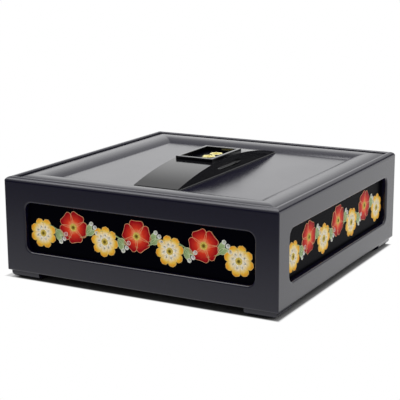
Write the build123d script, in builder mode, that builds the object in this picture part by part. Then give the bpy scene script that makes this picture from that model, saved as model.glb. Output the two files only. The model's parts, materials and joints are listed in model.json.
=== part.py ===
from build123d import *
from math import sqrt
import os

os.makedirs("parts", exist_ok=True)

# A low square lacquered sewing box: a mitred case on four feet with a framed plaque in each side,
# a drop-in lid with a cushion moulding and an arched handle, and a tray that lifts out.
# Millimetres, +Z up, the origin on the floor under the middle of the box, the front towards -Y.

# Case sides
BOX_SIZE = 300.0
SIDE_HEIGHT = 96.0
SIDE_THICKNESS = 14.0
TOP_ROUND = 5.0
LOWER_ROUND = 2.0
CORNER_ROUND = 1.0
RIM_WIDTH = 7.3
RIM_INNER_ROUND = 1.8
LID_REBATE_DEPTH = 12.0

# Window in each side, with the plaque and its backing board let in from behind
STILE_WIDTH = 24.0
UPPER_RAIL = 24.0
LOWER_RAIL = 22.0
WINDOW_RADIUS = 8.0
WINDOW_ROUND = 2.0
WINDOW_WEB = 5.5
PLAQUE_LAP = 5.0
PLAQUE_THICKNESS = 5.5
PLAQUE_FIT = 0.3

# Bottom panel in its groove, and the cloth-covered linings
BOTTOM_THICKNESS = 5.0
BOTTOM_RISE = 8.0
BOTTOM_GROOVE = 5.0
BOTTOM_FIT = 0.3
LINING_THICKNESS = 2.0
LINING_DROP = 1.0
LINING_FIT = 0.3

# Feet, their felt pads and the counterbored pan-head wood screws
FOOT_HEIGHT = 8.0
FOOT_SIZE = 33.0
FOOT_INSET = 3.0
FOOT_ROUND = 5.0
PAD_THICKNESS = 1.0
PAD_RADIUS = 8.5
SCREW_HEAD_RADIUS = 3.0
SCREW_HEAD_HEIGHT = 2.0
SCREW_SHANK_RADIUS = 1.5
SCREW_FIT = 0.12
FOOT_SCREW_LENGTH = 13.0
FOOT_SCREW_INSET = 8.5
FOOT_SCREW_ALONG = 25.5

# Loose tongues that key the mitres
TONGUE_THICKNESS = 3.0
TONGUE_WIDTH = 7.0
TONGUE_FIT = 0.1
TONGUE_OUT = 5.0
TONGUE_FOOT_GAP = 3.0
TONGUE_HEAD_GAP = 7.0

# Lid frame and panel
LID_GAP = 1.1
SEAT_GAP = 0.3
MOULDING_WIDTH = 31.2
CUSHION_RADIUS = 37.0
CREST_FROM_EDGE = 12.1
CREST_DROP = 0.3
PANEL_DROP = 5.2
PANEL_THICKNESS = 4.0
PANEL_GROOVE = 6.0
PANEL_FIT = 0.4
LID_TONGUE_RISE = 3.0
LID_TONGUE_WIDTH = 16.0

# Arched handle with a finger groove along each side
HANDLE_WIDTH = 49.0
HANDLE_END_GAP = 1.9
HANDLE_RISE = 15.4
HANDLE_END = 1.8
PLINTH_HEIGHT = 1.1
PLINTH_STEP = 1.0
PLINTH_ROUND = 0.8
GROOVE_LENGTH = 54.0
GROOVE_RADIUS = 2.8
GROOVE_RUN_OUT = 8.0
GROOVE_RISE = 7.0
HANDLE_SCREW_LENGTH = 9.0
HANDLE_SCREW_ALONG = 60.0

# Small tile, deep in its frame on the handle
TILE_FRAME_LENGTH = 65.0
TILE_FRAME_WIDTH = 42.0
TILE_FRAME_RIM = 3.5
TILE_FRAME_RISE = 2.3
TILE_FRAME_EDGE = 0.6
TILE_THICKNESS = 3.0
TILE_RECESS = 4.7
TILE_FIT = 0.2

# Lift-out tray and the runners that it rests on
TRAY_CLEARANCE = 1.0
TRAY_HEADROOM = 3.0
TRAY_HEIGHT = 32.0
TRAY_WALL = 7.0
TRAY_LAP = 3.0
TRAY_EDGE = 1.2
TRAY_BASE_THICKNESS = 3.0
TRAY_BASE_RISE = 2.0
TRAY_BASE_GROOVE = 3.0
TRAY_BASE_FIT = 0.2
DIVIDER_THICKNESS = 4.0
DIVIDER_DROP = 4.0
DIVIDER_HOUSING = 2.0
DIVIDER_FIT = 0.1
DIVIDER_OFFSET = 44.0
CROSS_DIVIDER_Y = 30.0
NOTCH_LENGTH = 50.0
NOTCH_DEPTH = 11.0
TRAY_PAD_THICKNESS = 1.5
TRAY_PAD_FIT = 0.4
RUNNER_WIDTH = 8.0
RUNNER_HEIGHT = 9.0
RUNNER_CHAMFER = 2.0

# Places worked out from the sizes, as distances from the middle
half_box = BOX_SIZE / 2
side_inner = half_box - SIDE_THICKNESS
rim_inner = half_box - RIM_WIDTH
lining_inner = side_inner - LINING_THICKNESS
lid_half = rim_inner - LID_GAP
panel_open = lid_half - MOULDING_WIDTH
handle_half = panel_open - HANDLE_END_GAP
tray_half = lining_inner - TRAY_CLEARANCE
tray_inner = tray_half - TRAY_WALL
foot_outer = half_box - FOOT_INSET
foot_centre = foot_outer - FOOT_SIZE / 2
screw_across = foot_outer - FOOT_SCREW_INSET
screw_along = foot_outer - FOOT_SCREW_ALONG
plaque_back = half_box - WINDOW_WEB - PLAQUE_THICKNESS
window_length = BOX_SIZE - 2 * STILE_WIDTH
window_opening = SIDE_HEIGHT - UPPER_RAIL - LOWER_RAIL
rebate_length = window_length + 2 * PLAQUE_LAP
rebate_opening = window_opening + 2 * PLAQUE_LAP
plaque_length = rebate_length - 2 * PLAQUE_FIT
plaque_height = rebate_opening - 2 * PLAQUE_FIT
corner_tongue_radius = (side_inner + TONGUE_OUT) * sqrt(2)
lid_tongue_radius = (lid_half - MOULDING_WIDTH / 2) * sqrt(2)
tile_opening_length = TILE_FRAME_LENGTH - 2 * TILE_FRAME_RIM
tile_opening_width = TILE_FRAME_WIDTH - 2 * TILE_FRAME_RIM
divider_reach = tray_inner + DIVIDER_HOUSING

# Heights worked out from the sizes
side_bottom = FOOT_HEIGHT
side_top = side_bottom + SIDE_HEIGHT
ledge = side_top - LID_REBATE_DEPTH
window_centre = side_bottom + LOWER_RAIL + window_opening / 2
bottom_under = side_bottom + BOTTOM_RISE
bottom_top = bottom_under + BOTTOM_THICKNESS
lid_under = ledge + SEAT_GAP
crest_height = side_top - CREST_DROP
panel_top = crest_height - PANEL_DROP
panel_under = panel_top - PANEL_THICKNESS
handle_crest = panel_top + HANDLE_RISE
frame_top = handle_crest + TILE_FRAME_RISE
tile_top = frame_top - TILE_RECESS
tile_under = tile_top - TILE_THICKNESS
corner_tongue_foot = bottom_top + TONGUE_FOOT_GAP
corner_tongue_length = ledge - TONGUE_HEAD_GAP - corner_tongue_foot
lid_tongue_foot = lid_under + LID_TONGUE_RISE
tray_top = ledge - TRAY_HEADROOM
tray_under = tray_top - TRAY_HEIGHT
tray_base_under = tray_under + TRAY_BASE_RISE
tray_base_top = tray_base_under + TRAY_BASE_THICKNESS
divider_top = tray_top - DIVIDER_DROP
divider_height = divider_top - tray_base_top

# Upright planes whose X runs outwards to the right and to the front
RIGHTWARD = Plane.XZ
FRONTWARD = Plane((0, 0, 0), x_dir=(0, -1, 0), z_dir=(-1, 0, 0))

# Each right-hand or back-right piece is turned about the middle to make the other three.
SIDES = {"right": 0, "back": 90, "left": 180, "front": 270}
CORNERS = {"back_right": 0, "back_left": 90, "front_left": 180, "front_right": 270}


def save(piece, name):
    """Label a finished piece and write it to its own file."""
    piece.part.label = name
    export_step(piece.part, f"parts/{name}.step")


def save_turned(piece, stem, turns):
    """Write one copy of a piece for each named turn about the middle of the box."""
    for place, turn in turns.items():
        with BuildPart() as turned:
            add(piece.part, rotation=(0, 0, turn))
        save(turned, f"{place}_{stem}")


def wood_screw(length, clearance=0.0):
    """A wood screw standing head down, or the counterbored hole for one when it gets a clearance."""
    with BuildPart() as screw:
        with BuildSketch():
            Circle(SCREW_HEAD_RADIUS + clearance)
        extrude(amount=SCREW_HEAD_HEIGHT)
        with BuildSketch():
            Circle(SCREW_SHANK_RADIUS + clearance)
        extrude(amount=length + clearance)
    return screw.part


def add_foot_screws(screw, mode=Mode.ADD):
    """Put a screw, or the hole for one, up through each foot into one of its two side panels."""
    with Locations((0, 0, PAD_THICKNESS)):
        with PolarLocations(0, 4):
            with Locations((screw_across, screw_along)):
                add(screw, mode=mode)


def add_handle_screws(screw, mode=Mode.ADD):
    """Put a screw, or the hole for one, up through the lid panel towards each end of the handle."""
    with Locations((0, 0, panel_under)):
        with GridLocations(0, 2 * HANDLE_SCREW_ALONG, 1, 2):
            add(screw, mode=mode)


def tongue_plan(height, radius, width, clearance=0.0):
    """Plan of the four loose tongues, each square across its mitre, or of the mortises for them."""
    with BuildSketch(Plane.XY.offset(height - clearance)) as plan:
        with PolarLocations(radius, 4, start_angle=45):
            Rectangle(TONGUE_THICKNESS + 2 * clearance, width + 2 * clearance)
    return plan.sketch


def divider_plan(clearance=0.0):
    """Plan of the two long dividers and the cross divider, widened by a clearance."""
    width = DIVIDER_THICKNESS + 2 * clearance
    reach = 2 * (divider_reach + clearance)
    with BuildSketch(Plane.XY.offset(tray_base_top)) as plan:
        with GridLocations(2 * DIVIDER_OFFSET, 0, 2, 1):
            Rectangle(width, reach)
        with Locations((0, CROSS_DIVIDER_Y)):
            Rectangle(reach, width)
    return plan.sketch


def tray_wall_section(plane):
    """Section of a tray wall, with its rounded top edge and the groove for the base."""
    with BuildSketch(plane) as section:
        with Locations((tray_half, tray_under)):
            Rectangle(TRAY_WALL, TRAY_HEIGHT, align=(Align.MAX, Align.MIN))
        fillet(section.vertices().group_by(Axis.Y)[-1], TRAY_EDGE)
        with Locations((tray_inner, tray_base_under)):
            groove_align = (Align.MIN, Align.MIN)
            Rectangle(TRAY_BASE_GROOVE, TRAY_BASE_THICKNESS, align=groove_align, mode=Mode.SUBTRACT)
    return section.sketch


foot_screw = wood_screw(FOOT_SCREW_LENGTH)
foot_screw_hole = wood_screw(FOOT_SCREW_LENGTH, SCREW_FIT)
handle_screw = wood_screw(HANDLE_SCREW_LENGTH)
handle_screw_hole = wood_screw(HANDLE_SCREW_LENGTH, SCREW_FIT)

# Plan of the right-hand quarter of the square, between its two diagonals, for the mitres
with BuildSketch() as quarter_plan:
    RectangleRounded(BOX_SIZE, BOX_SIZE, CORNER_ROUND)
    with BuildLine():
        Polyline((0, 0), (BOX_SIZE, -BOX_SIZE), (BOX_SIZE, BOX_SIZE), close=True)
    make_face(mode=Mode.INTERSECT)

# Side panel: one section with its roundovers, lid rebate and bottom groove, run along Y and mitred
with BuildPart() as side_panel:
    with BuildSketch(Plane.XZ) as section:
        with Locations((side_inner, side_bottom)):
            Rectangle(SIDE_THICKNESS, SIDE_HEIGHT, align=(Align.MIN, Align.MIN))
        with Locations((side_inner, ledge)):
            Rectangle(rim_inner - side_inner, SIDE_HEIGHT, align=(Align.MIN, Align.MIN), mode=Mode.SUBTRACT)
        with Locations((side_inner, bottom_under)):
            Rectangle(BOTTOM_GROOVE, BOTTOM_THICKNESS, align=(Align.MIN, Align.MIN), mode=Mode.SUBTRACT)
        fillet(section.vertices().group_by(Axis.Y)[-1].sort_by(Axis.X)[-1], TOP_ROUND)
        fillet(section.vertices().group_by(Axis.Y)[-1].sort_by(Axis.X)[0], RIM_INNER_ROUND)
        fillet(section.vertices().group_by(Axis.Y)[0].sort_by(Axis.X)[-1], LOWER_ROUND)
    extrude(amount=half_box, both=True)
    extrude(to_extrude=quarter_plan.sketch, amount=side_top, mode=Mode.INTERSECT)
    # The window with its softened front edge, and the wider rebate behind it
    with BuildSketch(Plane.YZ.offset(side_inner)):
        with Locations((0, window_centre)):
            RectangleRounded(window_length, window_opening, WINDOW_RADIUS)
    extrude(amount=SIDE_THICKNESS, mode=Mode.SUBTRACT)
    with BuildSketch(Plane.YZ.offset(side_inner)):
        with Locations((0, window_centre)):
            Rectangle(rebate_length, rebate_opening)
    extrude(amount=SIDE_THICKNESS - WINDOW_WEB, mode=Mode.SUBTRACT)
    outer_face = side_panel.faces().filter_by(Axis.X).sort_by(Axis.X)[-1]
    fillet(outer_face.inner_wires()[0].edges(), WINDOW_ROUND)
    # Mortises for the loose tongues, and pilot holes for the foot screws
    mortises = tongue_plan(corner_tongue_foot, corner_tongue_radius, TONGUE_WIDTH, TONGUE_FIT)
    extrude(to_extrude=mortises, amount=corner_tongue_length + 2 * TONGUE_FIT, mode=Mode.SUBTRACT)
    add_foot_screws(foot_screw_hole, mode=Mode.SUBTRACT)
save_turned(side_panel, "side_panel", SIDES)

with BuildPart() as corner_tongues:
    tongues = tongue_plan(corner_tongue_foot, corner_tongue_radius, TONGUE_WIDTH)
    extrude(to_extrude=tongues, amount=corner_tongue_length)
save(corner_tongues, "corner_tongues")

# Plaque and backing board share one outline and fill the rebate behind the window.
with BuildPart() as plaque:
    with BuildSketch(Plane.YZ.offset(plaque_back)):
        with Locations((0, window_centre)):
            Rectangle(plaque_length, plaque_height)
    extrude(amount=PLAQUE_THICKNESS)
save_turned(plaque, "plaque", SIDES)

with BuildPart() as backing_board:
    with BuildSketch(Plane.YZ.offset(side_inner)):
        with Locations((0, window_centre)):
            Rectangle(plaque_length, plaque_height)
    extrude(amount=plaque_back - side_inner)
save_turned(backing_board, "backing_board", SIDES)

# Lining board of one side, mitred into its neighbours and standing on the bottom panel
with BuildPart() as lining:
    with BuildSketch(Plane.XZ):
        with Locations((lining_inner, bottom_top)):
            Rectangle(LINING_THICKNESS, ledge - LINING_DROP - bottom_top, align=(Align.MIN, Align.MIN))
    extrude(amount=side_inner, both=True)
    extrude(to_extrude=quarter_plan.sketch, amount=side_top, mode=Mode.INTERSECT)
save_turned(lining, "lining", SIDES)

with BuildPart() as bottom_panel:
    with BuildSketch(Plane.XY.offset(bottom_under)):
        bottom_size = 2 * (side_inner + BOTTOM_GROOVE - BOTTOM_FIT)
        Rectangle(bottom_size, bottom_size)
    extrude(amount=BOTTOM_THICKNESS)
save(bottom_panel, "bottom_panel")

with BuildPart() as bottom_lining:
    with BuildSketch(Plane.XY.offset(bottom_top)):
        Rectangle(2 * lining_inner, 2 * lining_inner)
    extrude(amount=LINING_THICKNESS)
save(bottom_lining, "bottom_lining")

# Runner that carries the tray, glued to the lining, with its lower edge bevelled
with BuildPart() as tray_runner:
    with BuildSketch(Plane.XZ) as section:
        with Locations((lining_inner, tray_under - SEAT_GAP)):
            Rectangle(RUNNER_WIDTH, RUNNER_HEIGHT, align=(Align.MAX, Align.MAX))
        chamfer(section.vertices().group_by(Axis.Y)[0].sort_by(Axis.X)[0], RUNNER_CHAMFER)
    extrude(amount=lining_inner, both=True)
save_turned(tray_runner, "tray_runner", {"right": 0, "left": 180})

# Foot: a square block set in from both faces, with its outer lower edges rounded over
with BuildPart() as foot:
    with BuildSketch(Plane.XY.offset(PAD_THICKNESS)):
        with Locations((foot_centre, foot_centre)):
            Rectangle(FOOT_SIZE, FOOT_SIZE)
    extrude(amount=FOOT_HEIGHT - PAD_THICKNESS)
    lower_edges = foot.edges().group_by(Axis.Z)[0]
    fillet([lower_edges.sort_by(Axis.X)[-1], lower_edges.sort_by(Axis.Y)[-1]], FOOT_ROUND)
    add_foot_screws(foot_screw_hole, mode=Mode.SUBTRACT)
save_turned(foot, "foot", CORNERS)

with BuildPart() as foot_pads:
    with BuildSketch():
        with GridLocations(2 * foot_centre, 2 * foot_centre, 2, 2):
            Circle(PAD_RADIUS)
    extrude(amount=PAD_THICKNESS)
save(foot_pads, "foot_pads")

with BuildPart() as foot_screws:
    add_foot_screws(foot_screw)
save(foot_screws, "foot_screws")

# Lid moulding: a bar with a cushion arc on top and a groove for the panel, run along Y and mitred
with BuildPart() as lid_moulding:
    with BuildSketch(Plane.XZ):
        with Locations((panel_open, lid_under)):
            Rectangle(MOULDING_WIDTH, crest_height - lid_under, align=(Align.MIN, Align.MIN))
        with Locations((lid_half - CREST_FROM_EDGE, crest_height - CUSHION_RADIUS)):
            Circle(CUSHION_RADIUS, mode=Mode.INTERSECT)
        with Locations((panel_open, panel_under)):
            Rectangle(PANEL_GROOVE, PANEL_THICKNESS, align=(Align.MIN, Align.MIN), mode=Mode.SUBTRACT)
    extrude(amount=lid_half, both=True)
    extrude(to_extrude=quarter_plan.sketch, amount=side_top, mode=Mode.INTERSECT)
    mortises = tongue_plan(lid_tongue_foot, lid_tongue_radius, LID_TONGUE_WIDTH, TONGUE_FIT)
    extrude(to_extrude=mortises, amount=TONGUE_THICKNESS + 2 * TONGUE_FIT, mode=Mode.SUBTRACT)
save_turned(lid_moulding, "lid_moulding", SIDES)

with BuildPart() as lid_tongues:
    tongues = tongue_plan(lid_tongue_foot, lid_tongue_radius, LID_TONGUE_WIDTH)
    extrude(to_extrude=tongues, amount=TONGUE_THICKNESS)
save(lid_tongues, "lid_tongues")

with BuildPart() as lid_panel:
    with BuildSketch(Plane.XY.offset(panel_under)):
        panel_size = 2 * (panel_open + PANEL_GROOVE - PANEL_FIT)
        Rectangle(panel_size, panel_size)
    extrude(amount=PANEL_THICKNESS)
    add_handle_screws(handle_screw_hole, mode=Mode.SUBTRACT)
save(lid_panel, "lid_panel")

with BuildPart() as lid_lining:
    with BuildSketch(Plane.XY.offset(panel_under)):
        Rectangle(2 * (panel_open - LINING_FIT), 2 * (panel_open - LINING_FIT))
    extrude(amount=-LINING_THICKNESS)
save(lid_lining, "lid_lining")

# Cutter for a finger groove: half-round in its side of the handle, it runs out to a point at each end.
with BuildPart() as finger_groove:
    with BuildSketch():
        with BuildLine():
            far_tip = (0, GROOVE_LENGTH / 2)
            near_tip = (0, -GROOVE_LENGTH / 2)
            full_half = GROOVE_LENGTH / 2 - GROOVE_RUN_OUT
            Polyline(near_tip, (GROOVE_RADIUS, -full_half), (GROOVE_RADIUS, full_half), far_tip, close=True)
        make_face()
    revolve(axis=Axis.Y)

# Handle: an arch on a thin plinth, with a finger groove along each side and a well for the tile
with BuildSketch(Plane.YZ) as arch_outline:
    with BuildLine():
        near_end = (-handle_half, panel_top + HANDLE_END)
        far_end = (handle_half, panel_top + HANDLE_END)
        ThreePointArc(near_end, (0, handle_crest), far_end)
        Polyline(far_end, (handle_half, panel_top), (-handle_half, panel_top), near_end)
    make_face()

with BuildPart() as handle:
    extrude(to_extrude=arch_outline.sketch, amount=HANDLE_WIDTH / 2, both=True)
    with Locations((0, 0, panel_top + GROOVE_RISE)):
        with GridLocations(HANDLE_WIDTH, 0, 2, 1):
            add(finger_groove.part, mode=Mode.SUBTRACT)
    with BuildSketch(Plane.XZ):
        with Locations((0, panel_top)):
            Rectangle(HANDLE_WIDTH + 2 * PLINTH_STEP, PLINTH_HEIGHT, align=(Align.CENTER, Align.MIN))
        fillet(vertices().group_by(Axis.Y)[-1], PLINTH_ROUND)
    extrude(amount=handle_half, both=True)
    with BuildSketch(Plane.XY.offset(tile_under)):
        Rectangle(tile_opening_width, tile_opening_length)
    extrude(amount=frame_top - tile_under, mode=Mode.SUBTRACT)
    add_handle_screws(handle_screw_hole, mode=Mode.SUBTRACT)
save(handle, "handle")

with BuildPart() as handle_screws:
    add_handle_screws(handle_screw)
save(handle_screws, "handle_screws")

# The frame round the tile is scribed underneath to the curve of the handle.
with BuildPart() as tile_frame:
    with BuildSketch(Plane.XY.offset(panel_top)):
        Rectangle(TILE_FRAME_WIDTH, TILE_FRAME_LENGTH)
        Rectangle(tile_opening_width, tile_opening_length, mode=Mode.SUBTRACT)
    extrude(amount=frame_top - panel_top)
    fillet(tile_frame.edges().group_by(Axis.Z)[-1], TILE_FRAME_EDGE)
    extrude(to_extrude=arch_outline.sketch, amount=HANDLE_WIDTH / 2, both=True, mode=Mode.SUBTRACT)
save(tile_frame, "tile_frame")

with BuildPart() as tile:
    with BuildSketch(Plane.XY.offset(tile_under)):
        Rectangle(tile_opening_width - 2 * TILE_FIT, tile_opening_length - 2 * TILE_FIT)
    extrude(amount=TILE_THICKNESS)
save(tile, "tile")

# Side walls of the tray, with a finger notch in the top edge and a housing for the cross divider
with BuildPart() as right_tray_wall:
    extrude(to_extrude=tray_wall_section(RIGHTWARD), amount=tray_half - TRAY_LAP, both=True)
    with BuildSketch(Plane.YZ.offset(tray_inner)):
        with BuildLine():
            notch_half = NOTCH_LENGTH / 2
            ThreePointArc((-notch_half, tray_top), (0, tray_top - NOTCH_DEPTH), (notch_half, tray_top))
            Line((notch_half, tray_top), (-notch_half, tray_top))
        make_face()
    extrude(amount=TRAY_WALL, mode=Mode.SUBTRACT)
    extrude(to_extrude=divider_plan(DIVIDER_FIT), amount=divider_height + DIVIDER_FIT, mode=Mode.SUBTRACT)
save(right_tray_wall, "right_tray_wall")

with BuildPart() as left_tray_wall:
    mirror(right_tray_wall.part, about=Plane.YZ)
save(left_tray_wall, "left_tray_wall")

# Front wall of the tray, whose rebated ends lap over the ends of the side walls, and the back wall
with BuildPart() as front_tray_wall:
    extrude(to_extrude=tray_wall_section(FRONTWARD), amount=tray_half, both=True)
    with BuildSketch(Plane.XY.offset(tray_under)):
        lap_depth = TRAY_WALL - TRAY_LAP
        with Locations((0, -tray_inner)):
            with GridLocations(2 * tray_half - TRAY_WALL, 0, 2, 1):
                Rectangle(TRAY_WALL, lap_depth, align=(Align.CENTER, Align.MAX))
    extrude(amount=TRAY_HEIGHT, mode=Mode.SUBTRACT)
    extrude(to_extrude=divider_plan(DIVIDER_FIT), amount=divider_height + DIVIDER_FIT, mode=Mode.SUBTRACT)
save(front_tray_wall, "front_tray_wall")

with BuildPart() as back_tray_wall:
    mirror(front_tray_wall.part, about=Plane.XZ)
save(back_tray_wall, "back_tray_wall")

with BuildPart() as tray_base:
    with BuildSketch(Plane.XY.offset(tray_base_under)):
        base_size = 2 * (tray_inner + TRAY_BASE_GROOVE - TRAY_BASE_FIT)
        Rectangle(base_size, base_size)
    extrude(amount=TRAY_BASE_THICKNESS)
save(tray_base, "tray_base")

# Dividers, halved into each other: the long ones from above, the cross divider from below
halving_width = DIVIDER_THICKNESS + 2 * DIVIDER_FIT
halving_depth = divider_height / 2 + DIVIDER_FIT

for name, x in (("left_divider", -DIVIDER_OFFSET), ("right_divider", DIVIDER_OFFSET)):
    with BuildPart() as long_divider:
        with BuildSketch(Plane.XY.offset(tray_base_top)):
            with Locations((x, 0)):
                Rectangle(DIVIDER_THICKNESS, 2 * divider_reach)
        extrude(amount=divider_height)
        with BuildSketch(Plane.XY.offset(divider_top)):
            with Locations((x, CROSS_DIVIDER_Y)):
                Rectangle(DIVIDER_THICKNESS, halving_width)
        extrude(amount=-halving_depth, mode=Mode.SUBTRACT)
    save(long_divider, name)

with BuildPart() as cross_divider:
    with BuildSketch(Plane.XY.offset(tray_base_top)):
        with Locations((0, CROSS_DIVIDER_Y)):
            Rectangle(2 * divider_reach, DIVIDER_THICKNESS)
    extrude(amount=divider_height)
    with BuildSketch(Plane.XY.offset(tray_base_top)):
        with Locations((0, CROSS_DIVIDER_Y)):
            with GridLocations(2 * DIVIDER_OFFSET, 0, 2, 1):
                Rectangle(halving_width, DIVIDER_THICKNESS)
    extrude(amount=halving_depth, mode=Mode.SUBTRACT)
save(cross_divider, "cross_divider")

# Felt pads on the floor of each compartment
with BuildPart() as tray_pads:
    with BuildSketch(Plane.XY.offset(tray_base_top)):
        Rectangle(2 * (tray_inner - TRAY_PAD_FIT), 2 * (tray_inner - TRAY_PAD_FIT))
    extrude(amount=TRAY_PAD_THICKNESS)
    extrude(to_extrude=divider_plan(TRAY_PAD_FIT), amount=TRAY_PAD_THICKNESS, mode=Mode.SUBTRACT)
save(tray_pads, "tray_pads")
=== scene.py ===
import bmesh
import bpy
import json
from math import cos, pi, radians, sin, sqrt
from mathutils import Euler, Matrix, Vector, noise


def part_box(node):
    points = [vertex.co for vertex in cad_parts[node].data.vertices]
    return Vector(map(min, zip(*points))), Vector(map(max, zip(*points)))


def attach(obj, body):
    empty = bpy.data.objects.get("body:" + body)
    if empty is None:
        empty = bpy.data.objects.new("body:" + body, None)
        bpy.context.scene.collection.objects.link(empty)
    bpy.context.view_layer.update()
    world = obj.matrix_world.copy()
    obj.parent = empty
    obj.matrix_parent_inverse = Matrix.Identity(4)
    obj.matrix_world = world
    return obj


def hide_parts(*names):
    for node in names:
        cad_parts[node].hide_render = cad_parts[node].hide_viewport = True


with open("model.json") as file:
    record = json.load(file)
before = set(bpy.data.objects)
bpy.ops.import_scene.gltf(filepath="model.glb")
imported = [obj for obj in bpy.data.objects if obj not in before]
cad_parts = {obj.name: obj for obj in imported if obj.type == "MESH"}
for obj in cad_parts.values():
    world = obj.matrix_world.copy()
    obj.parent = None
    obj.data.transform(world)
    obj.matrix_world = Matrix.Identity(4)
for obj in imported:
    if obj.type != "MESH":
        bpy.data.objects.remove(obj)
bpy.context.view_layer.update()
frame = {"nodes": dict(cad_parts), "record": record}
nodes = frame["nodes"]

# A low square sewing box in satin black lacquer, with enamelled plaques in its four sides.
# Metres, +Z up, the front towards -Y.
MM = 0.001

# Camera, from the photograph's eight outer corners
CAMERA_AIM = (-49.09, 69.67, 45.15)
CAMERA_DISTANCE = 1308.4
CAMERA_AZIMUTH = 28.717
CAMERA_ELEVATION = 13.225
CAMERA_ROLL = -0.299
CAMERA_LENS = 104.951
SENSOR_WIDTH = 36.0

# Softbox and even fill
SOFTBOX_SIZE = 0.9
SOFTBOX_HEIGHT = 1.3
SOFTBOX_BACK = 0.25
SOFTBOX_RADIANCE = 4.2
STUDIO_FILL = 0.55
WHITE = (1, 1, 1, 1)

# The studio that the box mirrors: the ways to its cards, and how bright its parts are. Each pair
# is where a change between two of them begins and where it is complete.
BACKDROP_WAY = (-0.469, 0.819, 0.33)
BACKDROP_EDGE = (0.962, 0.992)
BACKDROP_CARD = 0.5
OVERHEAD_WAY = (-0.468, -0.3, 0.831)
OVERHEAD_EDGE = (0.93, 0.97)
OVERHEAD_CARD = 3.6
BEHIND_WAY = (-0.479, 0.878, 0.0)
WALL_TURN = (0.85, 0.6)
WALL_LOW = (0.5, 0.15)
WALL_SEAM = (-0.1, 0.15)
STRIP_TOP = (0.38, 0.28)
STRIP_FOOT = (0.1, 0.19)
STUDIO_WALLS = 0.82
STUDIO_DARK = 0.03
STUDIO_RIGHT = 1.2
STUDIO_DUSK = 0.02

# The floor: where the shadow painted on it under the box ends and how deep it is, then how bright
# it glows for the box's reflections, as a painted reflection, with pairs as above
FLOOR_SIZE = 6.0
FOOTPRINT_EDGE = 0.1455
FOOTPRINT_END = 0.1485
FOOTPRINT_SIDE = 0.002
SHADOW_DEPTH = 0.13
SHADOW_RIGHT = 0.7
SHADOW_RIGHT_EDGE = (0.135, 0.147)
SHADOW_LEFT_EDGE = (-0.146, -0.14)
SHADE_LEFT = 0.009
SHADE_TONE = 0.6
MIRROR_NEAR_EDGE = (-0.46, -0.15)
MIRROR_NEAR = (0.25, 0.95)
MIRROR_FAINT_EDGE = (-0.85, -0.6)
MIRROR_FAINT = 0.15
MIRROR_CAST_EDGE = (0.09, 0.13)
MIRROR_CAST = (0.15, 1.4)
MIRROR_INNER_EDGE = (0.147, 0.15)
MIRROR_RIGHT_EDGE = (0.156, 0.163)
MIRROR_RIGHT = 1.22

# Plaque relief, in millimetres, and the UV map that shades it
RELIEF_MAP = "relief"
BLOSSOM_COUNT = 7
BLOSSOM_SPACING = 36.0
BLOSSOM_RELIEF = 0.42
RED_RADIUS = 17.0
RED_PETALS = 5
RED_WIDTH = 17.0
RED_NOTCH = 1.8
YELLOW_RADIUS = 15.5
YELLOW_PETALS = 8
YELLOW_WIDTH = 9.6
BEAD_COUNT = 9
VINE_SWING = 5.5
VINE_REACH = 118.0
VINE_STEPS = 120
VINE_WIDTH = 1.3
VINE_RELIEF = 0.35
LEAF_WIDTH = 6.4
LEAF_RELIEF = 0.4
BERRY_RADIUS = 2.3
BERRY_STALK = 12.5
BERRY_RELIEF = 0.5
STALK_WIDTH = 0.7
STALK_RELIEF = 0.3
ROSETTE_RADIUS = 7.0
ROSETTE_PETALS = 7
ROSETTE_TURN = 9
ROSETTE_WIDTH = 5.6
ROSETTE_RELIEF = 0.5
ROSETTE_SPACING = 16.0

# Soft pieces, in millimetres: crown is how much higher the middle of a pad stands, and roll how
# wide its rolled edge is
PAD_CELL = 8.0
PAD_GAP = 0.4
PUCKER_SIZE = 26.0
PUCKER_DEPTH = 0.3
WALL_CROWN = 0.5
WALL_ROLL = 2.0
BOARD_CROWN = 0.9
BOARD_ROLL = 2.5
TRAY_CROWN = 1.0
TRAY_ROLL = 1.8
FOOT_PAD_RADIUS = 8.5
FOOT_PAD_ROLL = 0.5

# Screws, in millimetres
SCREW_HEAD_RADIUS = 3.0
SCREW_HEAD_HEIGHT = 2.0
SCREW_HEAD_CORNER = 0.15
SCREW_SHANK_RADIUS = 1.5
SCREW_ROOT = 1.05
THREAD_PITCH = 1.4
THREAD_ROW = 0.2
POINT_LENGTH = 3.0
RECESS_HALF = 0.4
RECESS_REACH = 1.7
RECESS_DEPTH = 1.1
RECESS_FLAT = 0.5
SCREW_ACROSS = 138.5
SCREW_ALONG = 121.5

# The box is the same on all four sides, so what is made for the front is turned about its middle.
SIDES = {"front": 0, "right": 90, "back": 180, "left": 270}
CORNERS = {"back_right": 0, "back_left": 90, "front_left": 180, "front_right": 270}


def linear(colour):
    """An sRGB hex colour as the linear RGBA that the shaders take."""
    channels = [int(colour[i:i + 2], 16) / 255 for i in (1, 3, 5)]
    light = [c / 12.92 if c <= 0.04045 else ((c + 0.055) / 1.055) ** 2.4 for c in channels]
    return (*light, 1.0)


def add_node(tree, kind, inputs=None, **settings):
    """Add one shader node with its settings; each input is a value to set or a socket to link."""
    made = tree.nodes.new("ShaderNode" + kind)
    for name, value in settings.items():
        setattr(made, name, value)
    for name, value in (inputs or {}).items():
        if isinstance(value, bpy.types.NodeSocket):
            tree.links.new(value, made.inputs[name])
        else:
            made.inputs[name].default_value = value
    return made


def new_material(name):
    """An empty node material, with its tree and output."""
    material = bpy.data.materials.new(name)
    material.use_nodes = True
    material.node_tree.nodes.clear()
    return material, material.node_tree


def finish_material(tree, shader):
    """Link the shader to the material's output."""
    add_node(tree, "OutputMaterial", {"Surface": shader})


def set_ramp(ramp, stops):
    """Give a colour ramp its stops, as places and hex colours."""
    elements = ramp.color_ramp.elements
    while len(elements) < len(stops):
        elements.new(0.5)
    for element, (place, colour) in zip(elements, stops):
        element.position = place
        element.color = linear(colour)


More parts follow.
